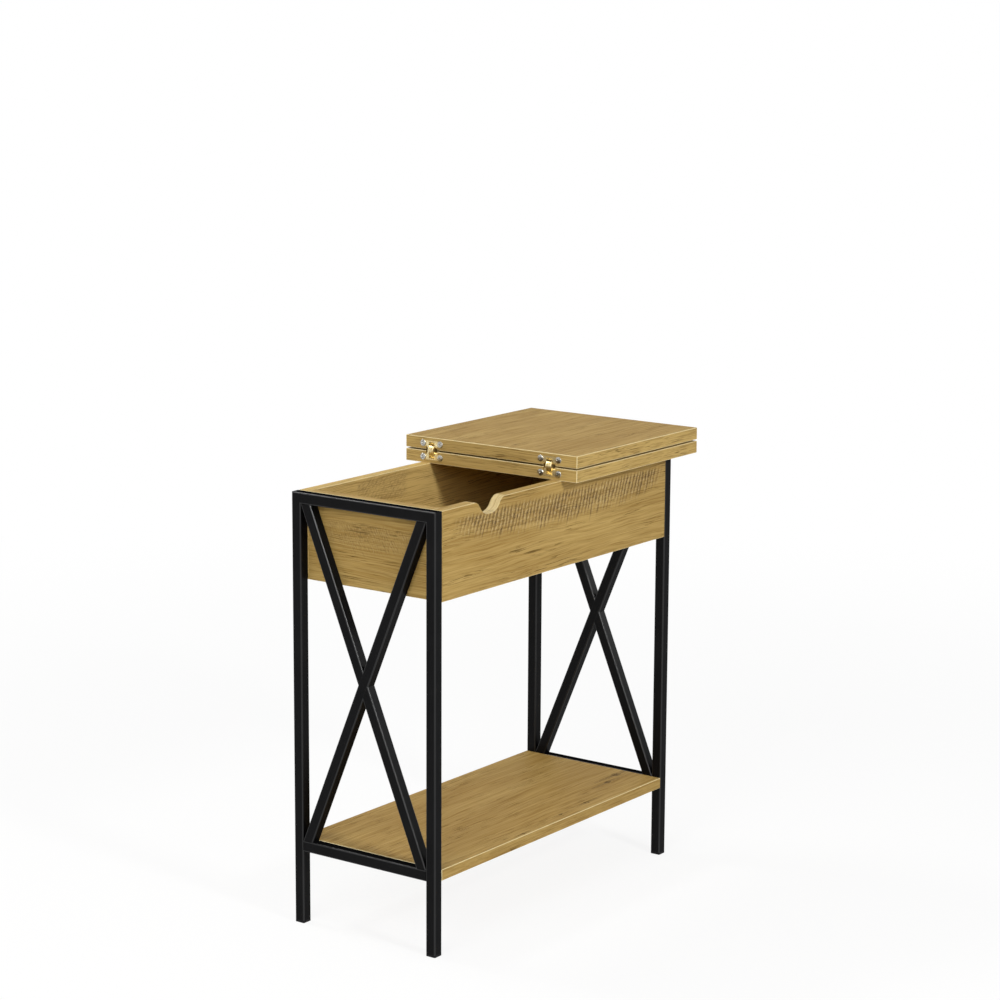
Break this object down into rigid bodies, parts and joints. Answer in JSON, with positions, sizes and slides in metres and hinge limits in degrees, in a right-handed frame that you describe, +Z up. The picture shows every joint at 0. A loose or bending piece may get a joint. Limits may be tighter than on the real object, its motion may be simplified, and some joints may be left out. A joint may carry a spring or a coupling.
{
  "type": "flip top end table",
  "caption": "Narrow end table with a storage box under a top whose one leaf flips over on link hinges, on X-braced square tube end frames with a lower shelf.",
  "frame": {"origin": "on the floor, under the middle of the table's bounding box with the leaf folded open", "axes": "+Z up, +X along the table from the storage opening towards the fixed leaf, front with the notch at -Y"},
  "size_m": [0.577, 0.29, 0.6287],
  "materials": {
    "oak_laminate": "light oak laminate on particle board, satin",
    "black_powder_coat": "black powder coat on steel tube, satin",
    "black_plastic": "moulded, matte",
    "brass": "polished, cast",
    "bright_steel": "nickel plated",
    "zinc_steel": "zinc plated",
    "beech": "raw"
  },
  "bodies": {
    "table": {"left_front_leg": "black_powder_coat", "left_rear_leg": "black_powder_coat", "left_top_rail": "black_powder_coat", "left_lower_rail": "black_powder_coat", "left_long_brace": "black_powder_coat", "left_lower_half_brace": "black_powder_coat", "left_upper_half_brace": "black_powder_coat", "right_front_leg": "black_powder_coat", "right_rear_leg": "black_powder_coat", "right_top_rail": "black_powder_coat", "right_lower_rail": "black_powder_coat", "right_long_brace": "black_powder_coat", "right_lower_half_brace": "black_powder_coat", "right_upper_half_brace": "black_powder_coat", "left_front_plug": "black_plastic", "left_rear_plug": "black_plastic", "right_front_plug": "black_plastic", "right_rear_plug": "black_plastic", "front_panel": "oak_laminate", "back_panel": "oak_laminate", "left_end_panel": "oak_laminate", "right_end_panel": "oak_laminate", "bottom_panel": "oak_laminate", "shelf": "oak_laminate", "fixed_leaf": "oak_laminate", "corner_dowels": "beech", "box_threaded_inserts": "zinc_steel", "box_cam_bolts": "zinc_steel", "box_cam_locks": "zinc_steel", "shelf_threaded_inserts": "zinc_steel", "shelf_cam_bolts": "zinc_steel", "shelf_cam_locks": "zinc_steel", "rear_fixed_hinge_plate": "brass", "front_fixed_hinge_plate": "brass", "fixed_hinge_pins": "bright_steel", "fixed_hinge_screws": "bright_steel", "lid_brackets": "zinc_steel", "lid_bracket_screws": "zinc_steel"},
    "hinge_links": {"rear_hinge_link": "brass", "front_hinge_link": "brass"},
    "flipping_leaf": {"flip_leaf": "oak_laminate", "rear_flip_hinge_plate": "brass", "front_flip_hinge_plate": "brass", "flip_hinge_pins": "bright_steel", "flip_hinge_screws": "bright_steel"}
  },
  "joints": [
    {"name": "lower_pivot", "type": "hinge", "parent": "table", "child": "hinge_links", "pos_m": [-0.0084, 0, 0.606], "axis": [0, -1, 0], "range_deg": [0, 90]},
    {"name": "upper_pivot", "type": "hinge", "parent": "hinge_links", "child": "flipping_leaf", "pos_m": [-0.0084, 0, 0.6152], "axis": [0, -1, 0], "range_deg": [0, 90]}
  ],
  "couplings": [
    {"joint": "upper_pivot", "follows": "lower_pivot", "ratio": 1}
  ]
}
